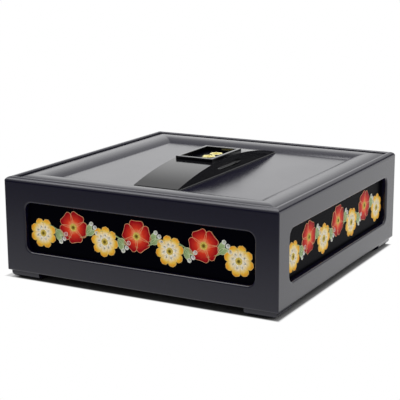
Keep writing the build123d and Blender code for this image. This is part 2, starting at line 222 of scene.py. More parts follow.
# Black lacquer: near-black pigmented lacquer, sprayed and rubbed down over close-grained wood.
# Rubbed to satin it has an even, soft sheen that blurs what it mirrors, and turns pale at low
# angles. The handle and the tile's frame are polished further, which makes them a deeper black
# and what they mirror crisper.
def black_lacquer(name, pigment, finest, coarsest):
    material, tree = new_material(name)
    place = add_node(tree, "TexCoord").outputs["Object"]
    # Orange peel of a sprayed coat is about 1.5 mm across.
    peel = add_node(tree, "TexNoise", {"Vector": place, "Scale": 650.0, "Detail": 2.0})
    bump = add_node(tree, "Bump", {
        "Height": peel.outputs["Fac"], "Strength": 0.03, "Distance": 0.0001,
    })
    # Rubbing down leaves patches about 40 mm across that shine a little more or less.
    rubbed = add_node(tree, "TexNoise", {"Vector": place, "Scale": 24.0, "Detail": 3.0})
    rough = add_node(tree, "MapRange", {
        "Value": rubbed.outputs["Fac"], "To Min": finest, "To Max": coarsest,
    })
    shader = add_node(tree, "BsdfPrincipled", {
        "Base Color": linear(pigment), "Roughness": rough.outputs["Result"], "IOR": 1.5,
        "Normal": bump.outputs["Normal"],
    })
    finish_material(tree, shader.outputs["BSDF"])
    return material


# Fired black glaze on the plaques: a deeper black than the lacquer round it, with hardly a sheen.
def black_glaze():
    material, tree = new_material("fired_black_glaze")
    place = add_node(tree, "TexCoord").outputs["Object"]
    pool = add_node(tree, "TexNoise", {"Vector": place, "Scale": 90.0, "Detail": 2.0})
    bump = add_node(tree, "Bump", {
        "Height": pool.outputs["Fac"], "Strength": 0.08, "Distance": 0.0004,
    })
    shader = add_node(tree, "BsdfPrincipled", {
        "Base Color": linear("#030309"), "Roughness": 0.25, "IOR": 1.5, "Specular IOR Level": 0.007,
        "Normal": bump.outputs["Normal"],
    })
    finish_material(tree, shader.outputs["BSDF"])
    return material


# Plywood stained black: matt, with the grain just showing through the stain.
def stained_plywood():
    material, tree = new_material("black_stained_plywood")
    place = add_node(tree, "TexCoord").outputs["Object"]
    stretch = add_node(tree, "Mapping", {"Vector": place, "Scale": (60.0, 900.0, 900.0)})
    grain = add_node(tree, "TexNoise", {
        "Vector": stretch.outputs["Vector"], "Scale": 1.0, "Detail": 4.0,
    })
    colour = add_node(tree, "ValToRGB", {"Fac": grain.outputs["Fac"]})
    set_ramp(colour, [(0.3, "#1c1917"), (0.75, "#38322d")])
    bump = add_node(tree, "Bump", {
        "Height": grain.outputs["Fac"], "Strength": 0.25, "Distance": 0.0002,
    })
    shader = add_node(tree, "BsdfPrincipled", {
        "Base Color": colour.outputs["Color"], "Roughness": 0.7, "IOR": 1.5,
        "Normal": bump.outputs["Normal"],
    })
    finish_material(tree, shader.outputs["BSDF"])
    return material


# Pressed brown hardboard: a felt of fine wood fibres, darker where they matted.
def pressed_hardboard():
    material, tree = new_material("pressed_hardboard")
    place = add_node(tree, "TexCoord").outputs["Object"]
    fibres = add_node(tree, "TexNoise", {
        "Vector": place, "Scale": 1400.0, "Detail": 5.0, "Roughness": 0.7,
    })
    colour = add_node(tree, "ValToRGB", {"Fac": fibres.outputs["Fac"]})
    set_ramp(colour, [(0.3, "#4c3018"), (0.7, "#7e5734")])
    bump = add_node(tree, "Bump", {
        "Height": fibres.outputs["Fac"], "Strength": 0.4, "Distance": 0.0003,
    })
    shader = add_node(tree, "BsdfPrincipled", {
        "Base Color": colour.outputs["Color"], "Roughness": 0.8, "IOR": 1.5,
        "Normal": bump.outputs["Normal"],
    })
    finish_material(tree, shader.outputs["BSDF"])
    return material


# Planed beech: pale pinkish wood with short dark flecks along the grain.
def planed_beech():
    material, tree = new_material("planed_beech")
    place = add_node(tree, "TexCoord").outputs["Object"]
    stretch = add_node(tree, "Mapping", {"Vector": place, "Scale": (1200.0, 1200.0, 150.0)})
    grain = add_node(tree, "TexNoise", {
        "Vector": stretch.outputs["Vector"], "Scale": 1.0, "Detail": 3.0,
    })
    colour = add_node(tree, "ValToRGB", {"Fac": grain.outputs["Fac"]})
    set_ramp(colour, [(0.35, "#9c6f48"), (0.6, "#c99f74")])
    shader = add_node(tree, "BsdfPrincipled", {
        "Base Color": colour.outputs["Color"], "Roughness": 0.55, "IOR": 1.5,
    })
    finish_material(tree, shader.outputs["BSDF"])
    return material


# Zinc plate on steel: a cool bright metal, slightly clouded.
def zinc_plate():
    material, tree = new_material("zinc_plated_steel")
    place = add_node(tree, "TexCoord").outputs["Object"]
    cloud = add_node(tree, "TexNoise", {"Vector": place, "Scale": 1500.0, "Detail": 3.0})
    rough = add_node(tree, "MapRange", {
        "Value": cloud.outputs["Fac"], "To Min": 0.2, "To Max": 0.42,
    })
    shader = add_node(tree, "BsdfPrincipled", {
        "Base Color": linear("#c3c6ca"), "Metallic": 1.0, "Roughness": rough.outputs["Result"],
    })
    finish_material(tree, shader.outputs["BSDF"])
    return material


# Short-pile velvet: dark where one looks into the pile, paler along its edges where the tips show.
def cut_velvet():
    material, tree = new_material("deep_red_cut_velvet")
    place = add_node(tree, "TexCoord").outputs["Object"]
    # The pile's tufts are about 0.4 mm apart; they are drawn at 0.8 mm so that they show.
    pile = add_node(tree, "TexNoise", {
        "Vector": place, "Scale": 1250.0, "Detail": 3.0, "Roughness": 0.6,
    })
    brushed = add_node(tree, "TexNoise", {"Vector": place, "Scale": 35.0, "Detail": 3.0})
    colour = add_node(tree, "ValToRGB", {"Fac": brushed.outputs["Fac"]})
    set_ramp(colour, [(0.3, "#4a0711"), (0.7, "#74101d")])
    bump = add_node(tree, "Bump", {
        "Height": pile.outputs["Fac"], "Strength": 0.6, "Distance": 0.0004,
    })
    shader = add_node(tree, "BsdfPrincipled", {
        "Base Color": colour.outputs["Color"], "Roughness": 0.9,
        "IOR": 1.5, "Specular IOR Level": 0.2,
        "Sheen Weight": 0.7, "Sheen Roughness": 0.35, "Sheen Tint": linear("#d8505a"),
        "Normal": bump.outputs["Normal"],
    })
    finish_material(tree, shader.outputs["BSDF"])
    return material


# Pressed wool felt: matt and fuzzy, with its fibres lying every way.
def wool_felt():
    material, tree = new_material("black_wool_felt")
    place = add_node(tree, "TexCoord").outputs["Object"]
    fibres = add_node(tree, "TexNoise", {
        "Vector": place, "Scale": 1100.0, "Detail": 5.0, "Roughness": 0.75,
    })
    colour = add_node(tree, "ValToRGB", {"Fac": fibres.outputs["Fac"]})
    set_ramp(colour, [(0.3, "#171717"), (0.75, "#333333")])
    bump = add_node(tree, "Bump", {
        "Height": fibres.outputs["Fac"], "Strength": 0.8, "Distance": 0.0005,
    })
    shader = add_node(tree, "BsdfPrincipled", {
        "Base Color": colour.outputs["Color"], "Roughness": 0.95,
        "IOR": 1.5, "Specular IOR Level": 0.15,
        "Sheen Weight": 0.3, "Sheen Roughness": 0.5, "Normal": bump.outputs["Normal"],
    })
    finish_material(tree, shader.outputs["BSDF"])
    return material


# Fired enamel, laid inside a raised pale outline. The relief's UV map gives it its places:
# U is the distance in from the outline, V the way from the middle of the flower to its edge.
def enamel(name, outline, fill):
    material, tree = new_material(name)
    relief = add_node(tree, "UVMap", uv_map=RELIEF_MAP).outputs["UV"]
    across = add_node(tree, "SeparateXYZ", {"Vector": relief})
    # Brush marks of the enamel are about 0.7 mm wide and run out along the petal.
    marks = add_node(tree, "TexNoise", {
        "Vector": add_node(tree, "TexCoord").outputs["Object"], "Scale": 900.0, "Detail": 3.0,
    })
    shaded = add_node(tree, "MapRange", {
        "Value": marks.outputs["Fac"], "To Min": -0.14, "To Max": 0.14,
    })
    way_out = add_node(tree, "Math", {
        0: across.outputs["Y"], 1: shaded.outputs["Result"],
    }, operation="ADD")
    colour = add_node(tree, "ValToRGB", {"Fac": way_out.outputs["Value"]})
    set_ramp(colour, fill)
    line = add_node(tree, "MapRange", {
        "Value": across.outputs["X"], "From Min": 0.2, "From Max": 0.3,
    })
    whole = add_node(tree, "Mix", {
        0: line.outputs["Result"], 6: linear(outline), 7: colour.outputs["Color"],
    }, data_type="RGBA")
    shader = add_node(tree, "BsdfPrincipled", {
        "Base Color": whole.outputs[2], "Roughness": 0.22, "IOR": 1.5, "Specular IOR Level": 0.02,
    })
    finish_material(tree, shader.outputs["BSDF"])
    return material


SATIN_LACQUER = black_lacquer("satin_black_lacquer", "#0d0b21", 0.17, 0.22)
POLISHED_LACQUER = black_lacquer("polished_black_lacquer", "#050509", 0.09, 0.12)
VELVET = cut_velvet()
FELT = wool_felt()
ZINC = zinc_plate()
FINISHES = {
    "black_lacquer": SATIN_LACQUER,
    "glazed_plaque": black_glaze(),
    "hardboard": pressed_hardboard(),
    "stained_ply": stained_plywood(),
    "beech": planed_beech(),
    "zinc_screw": ZINC,
    "lining_velvet": VELVET,
    "foot_felt": FELT,
}
for subpart in frame["record"]["subparts"]:
    node = nodes[subpart["node"]]
    node.data.materials.clear()
    node.data.materials.append(FINISHES[subpart["material_slot"]])
for name in ("handle", "tile_frame"):
    nodes[name].data.materials[0] = POLISHED_LACQUER

CRIMSON = enamel("crimson_enamel", "#f0b080", [
    (0.2, "#fbb070"), (0.45, "#e03a26"), (0.85, "#9c0c1a"),
])
GOLD = enamel("golden_enamel", "#f6cf78", [
    (0.42, "#fffae8"), (0.72, "#fbcf50"), (0.98, "#f0920e"),
])
SAGE = enamel("sage_enamel", "#dbe6bd", [
    (0.1, "#6f8a55"), (0.6, "#a3b983"), (0.95, "#c4d3a2"),
])
PEARL = enamel("pearl_enamel", "#f4f2ea", [
    (0.1, "#8d9190"), (0.5, "#c3c6c4"), (0.9, "#efeeea"),
])
CREAM = enamel("cream_enamel", "#fff6b0", [
    (0.2, "#e8c020"), (0.45, "#f6e05a"), (0.8, "#fff6c0"),
])
STAMEN = enamel("stamen_enamel", "#e8cf6a", [
    (0.1, "#4d4a1e"), (0.6, "#b79a34"), (0.95, "#f0d870"),
])


def relief_layer(mesh):
    """The mesh's layer of relief places, made the first time that it is asked for."""
    return mesh.loops.layers.uv.get(RELIEF_MAP) or mesh.loops.layers.uv.new(RELIEF_MAP)


def polar(angle, distance):
    """A flat point at an angle in degrees and a distance from the origin."""
    return Vector((distance * cos(radians(angle)), distance * sin(radians(angle))))


def inset(outline, distance):
    """A closed outline, drawn anticlockwise, moved inwards by a distance."""
    moved = []
    for i, here in enumerate(outline):
        along = (outline[(i + 1) % len(outline)] - outline[i - 1]).normalized()
        moved.append(here + distance * Vector((-along.y, along.x)))
    return moved


# The raised outline of each enamelled shape, as how far in and how high each ring of it is
RELIEF_RINGS = ((0.0, 0.0), (0.12, 0.8), (0.3, 1.0), (0.55, 1.0), (0.75, 0.62), (1.4, 0.72))


def raise_shape(mesh, outline, heart, height, middle, reach):
    """Raise one closed shape off the plaque: an outline ridge round a softly domed fill.

    Sizes are millimetres in the plaque's plane. heart is a point inside the shape, middle the
    middle of the whole flower and reach its radius, which give the fill its shading.
    """
    relief = relief_layer(mesh)
    rings = []
    for depth, rise in RELIEF_RINGS:
        ring = inset(outline, depth)
        rings.append([(point, rise * height, depth / 2) for point in ring])
    last = rings[-1]
    rings.append([(point.lerp(heart, 0.5), 0.92 * height, 0.9) for point, rise, depth in last])
    made = []
    for ring in rings:
        made.append([(mesh.verts.new((p.x, -rise, p.y)), depth, (p - middle).length / reach)
                     for p, rise, depth in ring])
    top = (mesh.verts.new((heart.x, -height, heart.y)), 1.0, (heart - middle).length / reach)
    base = (mesh.verts.new((heart.x, 0, heart.y)), 0.0, 0.0)
    count = len(outline)

    def face(corners):
        laid = mesh.faces.new([corner[0] for corner in corners])
        laid.smooth = True
        for loop, corner in zip(laid.loops, corners):
            loop[relief].uv = (corner[1], corner[2])

    for outer, inner in zip(made, made[1:]):
        for i in range(count):
            j = (i + 1) % count
            face([outer[i], outer[j], inner[j], inner[i]])
    for i in range(count):
        j = (i + 1) % count
        face([made[-1][i], made[-1][j], top])
        face([made[0][j], made[0][i], base])


def petal_outline(middle, turn, start, length, width, notch, steps=11):
    """A petal that starts near the flower's middle, swells, and ends round or shallowly notched."""
    left, right = [], []
    for i in range(steps):
        along = i / (steps - 1)
        swell = 0.34 + 0.66 * sin(pi * min(1.0, along * 0.62 + 0.08) ** 1.15)
        half = width / 2 * swell * sqrt(max(0.0, 1 - along ** 6))
        tip = start + length * along
        left.append((tip, half))
        right.append((tip, -half))
    points = right + list(reversed(left))[1:]
    shaped = []
    for out, side in points:
        near_middle = max(0.0, 1 - abs(side) / (width * 0.3))
        pull = notch * near_middle * max(0.0, (out - start) / length - 0.7) / 0.3
        shaped.append(middle + polar(turn, out - pull) + polar(turn + 90, side))
    return shaped


def leaf_outline(foot, turn, length, width, steps=9):
    """A pointed leaf from its foot to its tip."""
    edge = [(length * i / (steps - 1), width / 2 * sin(pi * (i / (steps - 1)) ** 0.85))
            for i in range(steps)]
    points = [(along, -side) for along, side in edge]
    points += [(along, side) for along, side in reversed(edge)][1:-1]
    return [foot + polar(turn, along) + polar(turn + 90, side) for along, side in points]


def round_outline(middle, radius, steps=14):
    """A circle, drawn anticlockwise."""
    return [middle + polar(360 * i / steps, radius) for i in range(steps)]


def add_blossom(petals, stamens, middle, radius, count, turn, width, notch, height):
    """Lay a ring of petals round a domed centre with a ring of small beads on it."""
    core = radius * 0.24
    for i in range(count):
        angle = turn + 360 * i / count
        outline = petal_outline(middle, angle, core * 0.7, radius - core * 0.7, width, notch)
        raise_shape(petals, outline, middle + polar(angle, radius * 0.62), height, middle, radius)
    raise_shape(stamens, round_outline(middle, core), middle, height * 1.5, middle, core)
    for i in range(BEAD_COUNT):
        bead = middle + polar(turn + 360 / BEAD_COUNT * i, core * 0.66)
        raise_bead(stamens, bead, core * 0.2, height * 1.4, height * 2.0)


def raise_bead(mesh, centre, radius, low, high, steps=8):
    """A small domed bead from one height to another."""
    relief = relief_layer(mesh)
    rings = []
    for lift, spread in ((0.0, 1.0), (0.6, 0.85), (0.9, 0.5)):
        rings.append([mesh.verts.new((p.x, -(low + (high - low) * lift), p.y))
                      for p in round_outline(centre, radius * spread, steps)])
    top = mesh.verts.new((centre.x, -high, centre.y))
    base = mesh.verts.new((centre.x, -low, centre.y))
    faces = []
    for outer, inner in zip(rings, rings[1:]):
        for i in range(steps):
            j = (i + 1) % steps
            faces.append([outer[i], outer[j], inner[j], inner[i]])
    for i in range(steps):
        j = (i + 1) % steps
        faces.append([rings[-1][i], rings[-1][j], top])
        faces.append([rings[0][j], rings[0][i], base])
    for corners in faces:
        laid = mesh.faces.new(corners)
        laid.smooth = True
        for loop in laid.loops:
            loop[relief].uv = (1.0, 0.9)


def vine_height(x):
    """How far the vine swings up or down from the middle of the plaque at a distance along it."""
    return -VINE_SWING * cos(pi * x / BLOSSOM_SPACING)


def raise_stem(mesh, path, width, height):
    """A half-round trailed line along a path, closed underneath and at its ends."""
    relief = relief_layer(mesh)
    profile = ((-1.0, 0.0), (-0.75, 0.7), (0.0, 1.0), (0.75, 0.7), (1.0, 0.0))
    rings = []
    for i, here in enumerate(path):
        along = (path[min(i + 1, len(path) - 1)] - path[max(i - 1, 0)]).normalized()
        side = Vector((-along.y, along.x)) * width / 2
        taper = 0.35 if i in (0, len(path) - 1) else 1.0
        ring = []
        for across, rise in profile:
            x, z = here.x + side.x * across * taper, here.y + side.y * across * taper
            ring.append(mesh.verts.new((x, -height * rise * taper, z)))
        rings.append(ring)
    faces = []
    for first, second in zip(rings, rings[1:]):
        for j in range(len(profile)):
            k = (j + 1) % len(profile)
            faces.append([first[k], first[j], second[j], second[k]])
    faces.append(rings[0])
    faces.append(list(reversed(rings[-1])))
    for corners in faces:
        laid = mesh.faces.new(corners)
        laid.smooth = len(corners) == 4
        for loop in laid.loops:
            loop[relief].uv = (0.5, 0.55)


def finish_mesh(mesh, name, material, place):
    """Close the making of a mesh: put it in its place, in metres, with its material."""
    bmesh.ops.recalc_face_normals(mesh, faces=mesh.faces)
    bmesh.ops.transform(mesh, matrix=place, verts=mesh.verts)
    data = bpy.data.meshes.new(name)
    mesh.to_mesh(data)
    mesh.free()
    data.materials.append(material)
    return data


def add_piece(name, data, body):
    """Show a mesh, with the finish it was made with, as a piece that rides on a body."""
    piece = bpy.data.objects.new(name, data)
    bpy.context.scene.collection.objects.link(piece)
    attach(piece, body)
    return piece


def add_turned(stem, data, turns, body):
    """Show a mesh once for each named turn about the middle of the box."""
    for place, turn in turns.items():
        piece = bpy.data.objects.new(f"{place}_{stem}", data)
        bpy.context.scene.collection.objects.link(piece)
        piece.rotation_euler = Euler((0, 0, radians(turn)))
        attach(piece, body)


def make_plaque_relief():
    """A wavy vine with red and yellow blossoms, leaves and berries, raised on each plaque."""
    low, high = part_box("front_plaque")
    face_y = low.y
    centre_z = (low.z + high.z) / 2
    red, yellow, stamens, leaves, vine, berries = (bmesh.new() for _ in range(6))
    half = (BLOSSOM_COUNT - 1) / 2
    for i in range(BLOSSOM_COUNT):
        x = (i - half) * BLOSSOM_SPACING
        middle = Vector((x, vine_height(x + BLOSSOM_SPACING) * 0.9))
        if i % 2 == 1:
            turn = 90 + 12 * (i - half)
            add_blossom(
                red, stamens, middle, RED_RADIUS, RED_PETALS, turn, RED_WIDTH, RED_NOTCH,
                BLOSSOM_RELIEF,
            )
        else:
            turn = 22 + 9 * i
            add_blossom(
                yellow, stamens, middle, YELLOW_RADIUS, YELLOW_PETALS, turn, YELLOW_WIDTH, 0.0,
                BLOSSOM_RELIEF,
            )
    places = [-VINE_REACH + 2 * VINE_REACH * i / VINE_STEPS for i in range(VINE_STEPS + 1)]
    raise_stem(vine, [Vector((x, vine_height(x))) for x in places], VINE_WIDTH, VINE_RELIEF)
    # Between two blossoms a pair of leaves grows on one side of the vine, and three berries on
    # the other.
    for i in range(BLOSSOM_COUNT - 1):
        x = (i - half + 0.5) * BLOSSOM_SPACING
        side = 1 if i % 2 else -1
        foot = Vector((x - 3.0, vine_height(x)))
        for turn, length in ((62, 15.0), (24, 12.0)):
            outline = leaf_outline(foot, side * turn, length, LEAF_WIDTH)
            heart = foot + polar(side * turn, length * 0.5)
            raise_shape(leaves, outline, heart, LEAF_RELIEF, foot, length)
        for turn in (118, 142, 168):
            spot = foot + polar(-side * turn + 180, BERRY_STALK)
            # Painted shading: each berry is greyer round a point off its middle and paler away from
            # it.
            painted_shading_point = spot + Vector((0.7, 0.9))
            raise_shape(berries, round_outline(spot, BERRY_RADIUS), spot, BERRY_RELIEF, painted_shading_point, 3.0)
            bend = foot.lerp(spot, 0.5) + Vector((0.6, 0))
            raise_stem(vine, [foot, bend, spot], STALK_WIDTH, STALK_RELIEF)
    place = Matrix.Translation((0, face_y, centre_z)) @ Matrix.Scale(MM, 4)
    for stem, mesh, material in (
        ("red_blossoms", red, CRIMSON), ("yellow_blossoms", yellow, GOLD),
        ("stamens", stamens, STAMEN), ("leaves", leaves, SAGE),
        ("vine", vine, SAGE), ("berries", berries, PEARL),
    ):
        add_turned(stem, finish_mesh(mesh, stem, material, place), SIDES, "case")


def make_tile_relief():
    """A row of three small yellow rosettes on the tile, at the bottom of its well."""
    face_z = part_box("tile")[1].z
    petals, stamens = bmesh.new(), bmesh.new()
    for up in (-ROSETTE_SPACING, 0, ROSETTE_SPACING):
        middle = Vector((0, up))
        add_blossom(
            petals, stamens, middle, ROSETTE_RADIUS, ROSETTE_PETALS, ROSETTE_TURN, ROSETTE_WIDTH,
            0.0, ROSETTE_RELIEF,
        )
    lie_down = Matrix.Rotation(radians(-90), 4, "X")
    place = Matrix.Translation((0, 0, face_z)) @ lie_down @ Matrix.Scale(MM, 4)
    for name, mesh, material in (
        ("tile_rosettes", petals, CREAM), ("tile_stamens", stamens, STAMEN),
    ):
        add_piece(name, finish_mesh(mesh, name, material, place), "lid")


make_plaque_relief()
make_tile_relief()


# Soft pieces: cloth drawn over thin padding, with rolled edges and a slightly crowned face
def pad_stations(size, roll):
    """Places of a pad's mesh lines across one way, close together where its edges roll over."""
    edge = [roll * part for part in (0.0, 0.04, 0.14, 0.3, 0.52, 0.78, 1.0)]
    count = max(4, round((size - 2 * roll) / PAD_CELL))
    flat = [roll + (size - 2 * roll) * i / count for i in range(1, count)]
    return [at - size / 2 for at in edge + flat + [size - e for e in reversed(edge)]]


def rolled(inset_by, roll):
    """Share of the full thickness that a rolled edge has reached at a distance in from it."""
    part = min(1.0, inset_by / roll)
    return sqrt(part * (2 - part))


def add_pad(mesh, place, width, height, thickness, crown, roll):
    """Add one closed pad, lying on its back in the XY plane before it goes to its place."""
    across, up = pad_stations(width, roll), pad_stations(height, roll)
    rows = []
    for y in up:
        row = []
        for x in across:
            edge = rolled(width / 2 - abs(x), roll) * rolled(height / 2 - abs(y), roll)
            dome = (1 - (2 * x / width) ** 4) * (1 - (2 * y / height) ** 4)
            pucker = PUCKER_DEPTH * noise.noise(Vector((x, y, width)) / PUCKER_SIZE)
            z = thickness * edge + crown * dome * (1 + pucker)
            row.append(mesh.verts.new(place @ Vector((x, y, z))))
        rows.append(row)
    for low, high in zip(rows, rows[1:]):
        for i in range(len(across) - 1):
            mesh.faces.new((low[i], low[i + 1], high[i + 1], high[i])).smooth = True
    rim = rows[0] + [row[-1] for row in rows[1:]]
    rim += rows[-1][-2::-1] + [row[0] for row in rows[-2:0:-1]]
    mesh.faces.new(list(reversed(rim)))


def add_soft(name, mesh, material, body, node):
    """Show a padded piece in place of its plain solid."""
    piece = add_piece(name, finish_mesh(mesh, name, material, Matrix.Scale(MM, 4)), body)
    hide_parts(node)


def millimetres(node):
    """A node's lowest and highest corners, in millimetres."""
    low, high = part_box(node)
    return low / MM, high / MM


def make_linings():
    """Velvet-covered boards round the inside of the case, on its bottom and under the lid."""
    low, high = millimetres("front_lining")
    inward = Matrix(((-1, 0, 0), (0, 0, 1), (0, 1, 0))).to_4x4()
    stand = Matrix.Translation((0, low.y, (low.z + high.z) / 2)) @ inward
    for side, turn in SIDES.items():
        mesh = bmesh.new()
        place = Matrix.Rotation(radians(turn), 4, "Z") @ stand
        add_pad(mesh, place, -2 * high.y, high.z - low.z, high.y - low.y, WALL_CROWN, WALL_ROLL)
        add_soft(f"{side}_padded_lining", mesh, VELVET, "case", f"{side}_lining")
    low, high = millimetres("bottom_lining")
    width, length, thickness = high - low
    mesh = bmesh.new()
    place = Matrix.Translation((0, 0, low.z))
    add_pad(mesh, place, width, length, thickness, BOARD_CROWN, BOARD_ROLL)
    add_soft("padded_bottom_lining", mesh, VELVET, "case", "bottom_lining")
    low, high = millimetres("lid_lining")
    width, length, thickness = high - low
    mesh = bmesh.new()
    place = Matrix.Translation((0, 0, high.z)) @ Matrix.Rotation(pi, 4, "X")
    add_pad(mesh, place, width, length, thickness, BOARD_CROWN, BOARD_ROLL)
    add_soft("padded_lid_lining", mesh, VELVET, "lid", "lid_lining")


def make_tray_pads():
    """A soft pad on the floor of each compartment of the tray."""
    low, high = millimetres("tray_pads")
    left, right = millimetres("left_divider"), millimetres("right_divider")
    cross = millimetres("cross_divider")
    columns = (
        (low.x, left[0].x - PAD_GAP),
        (left[1].x + PAD_GAP, right[0].x - PAD_GAP),
        (right[1].x + PAD_GAP, high.x),
    )
    rows = ((low.y, cross[0].y - PAD_GAP), (cross[1].y + PAD_GAP, high.y))
    mesh = bmesh.new()
    for x0, x1 in columns:
        for y0, y1 in rows:
            place = Matrix.Translation(((x0 + x1) / 2, (y0 + y1) / 2, low.z))
            add_pad(mesh, place, x1 - x0, y1 - y0, high.z - low.z, TRAY_CROWN, TRAY_ROLL)
    add_soft("padded_tray_floor", mesh, VELVET, "tray", "tray_pads")


def add_disc(mesh, place, radius, thickness, roll, steps=40):
    """Add one felt disc with a softened lower edge, hanging down from its place."""
    profile = [(radius, 0.0)]
    for i in range(5):
        angle = pi / 2 * i / 4
        profile.append((radius - roll * (1 - cos(angle)), thickness - roll + roll * sin(angle)))
    profile += [(radius * 0.6, thickness), (radius * 0.25, thickness)]
    rings = []
    for out, down in profile:
        spots = [polar(360 * i / steps, out) for i in range(steps)]
        rings.append([mesh.verts.new(place @ Vector((spot.x, spot.y, -down))) for spot in spots])
    for upper, lower in zip(rings, rings[1:]):
        for i in range(steps):
            j = (i + 1) % steps
            mesh.faces.new((upper[i], upper[j], lower[j], lower[i])).smooth = True
    mesh.faces.new(rings[0])
    mesh.faces.new(list(reversed(rings[-1])))


def make_foot_pads():
    """A felt disc under each foot."""
    high = millimetres("foot_pads")[1]
    mesh = bmesh.new()
    centre = high.x - FOOT_PAD_RADIUS
    for x in (-centre, centre):
        for y in (-centre, centre):
            place = Matrix.Translation((x, y, high.z))
            add_disc(mesh, place, FOOT_PAD_RADIUS, high.z, FOOT_PAD_ROLL)
    add_soft("felt_foot_pads", mesh, FELT, "case", "foot_pads")


make_linings()
make_tray_pads()
make_foot_pads()


def screw_profile(length):
    """Radius and height of each ring of a pan-head wood screw that stands head down."""
    head = [
        (0.02, 0.0), (0.45, 0.0), (0.9, 0.0), (1.25, 0.02), (1.6, 0.08), (2.0, 0.2), (2.4, 0.45),
        (2.75, 0.85), (SCREW_HEAD_RADIUS, 1.4),
        (SCREW_HEAD_RADIUS, SCREW_HEAD_HEIGHT - SCREW_HEAD_CORNER),
        (SCREW_HEAD_RADIUS - SCREW_HEAD_CORNER, SCREW_HEAD_HEIGHT),
        (SCREW_ROOT, SCREW_HEAD_HEIGHT),
    ]
    shank_length = length - SCREW_HEAD_HEIGHT
    rows = round(shank_length / THREAD_ROW)
    shank = [(SCREW_ROOT, SCREW_HEAD_HEIGHT + shank_length * i / rows) for i in range(1, rows + 1)]
    return head, shank


def screw_mesh(length, steps=32):
    """A pan-head wood screw with a cross recess and a thread that runs out at its point."""
    mesh = bmesh.new()
    head, shank = screw_profile(length)
    rings = []
    for radius, height in head:
        ring = []
        for i in range(steps):
            spot = polar(360 * i / steps, radius)
            arm = min(abs(spot.x), abs(spot.y)) < RECESS_HALF and radius < RECESS_REACH
            sunk = RECESS_DEPTH if arm and height < RECESS_FLAT else 0.0
            ring.append(mesh.verts.new((spot.x, spot.y, height + sunk)))
        rings.append(ring)
    for radius, height in shank:
        taper = min(1.0, (length - height) / POINT_LENGTH + 0.02)
        ring = []
        for i in range(steps):
            phase = (height / THREAD_PITCH - i / steps) % 1.0
            crest = max(0.0, 1 - abs(phase - 0.5) / 0.3) * (SCREW_SHANK_RADIUS - SCREW_ROOT)
            spot = polar(360 * i / steps, (radius + crest) * taper)
            ring.append(mesh.verts.new((spot.x, spot.y, height)))
        rings.append(ring)
    for lower, upper in zip(rings, rings[1:]):
        for i in range(steps):
            j = (i + 1) % steps
            mesh.faces.new((lower[i], lower[j], upper[j], upper[i])).smooth = True
    mesh.faces.new(list(reversed(rings[0])))
    mesh.faces.new(rings[-1])
    return mesh


def make_screws():
    """One screw up through each foot, and two up through the lid panel into the handle."""
    low, high = millimetres("foot_screws")
    data = finish_mesh(screw_mesh(high.z - low.z), "foot_screw", ZINC, Matrix.Scale(MM, 4))
    for corner, turn in CORNERS.items():
        piece = add_piece(f"{corner}_foot_screw", data, "case")
        across = Matrix.Rotation(radians(turn), 4, "Z") @ Vector((SCREW_ACROSS, SCREW_ALONG, low.z))
        piece.location = across * MM
        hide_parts("foot_screws")
    low, high = millimetres("handle_screws")
    data = finish_mesh(screw_mesh(high.z - low.z), "handle_screw", ZINC, Matrix.Scale(MM, 4))
    for end, y in (("front", low.y + SCREW_HEAD_RADIUS), ("back", high.y - SCREW_HEAD_RADIUS)):
        piece = add_piece(f"{end}_handle_screw", data, "lid")
        piece.location = Vector((0, y, low.z)) * MM
        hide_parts("handle_screws")


make_screws()


def make_camera():
    """Stand the camera where the photograph was taken from."""
    azimuth, elevation, roll = (radians(a) for a in (CAMERA_AZIMUTH, CAMERA_ELEVATION, CAMERA_ROLL))
    back = Vector((sin(azimuth) * cos(elevation), -cos(azimuth) * cos(elevation), sin(elevation)))
    camera = bpy.data.objects.new("camera", bpy.data.cameras.new("camera"))
    bpy.context.scene.collection.objects.link(camera)
    turn = back.to_track_quat("Z", "Y").to_matrix().to_4x4() @ Matrix.Rotation(roll, 4, "Z")
    stand = Vector(CAMERA_AIM) + back * CAMERA_DISTANCE
    camera.matrix_world = Matrix.Translation(stand * MM) @ turn
    camera.data.lens = CAMERA_LENS
    camera.data.sensor_width = SENSOR_WIDTH
    bpy.context.scene.camera = camera


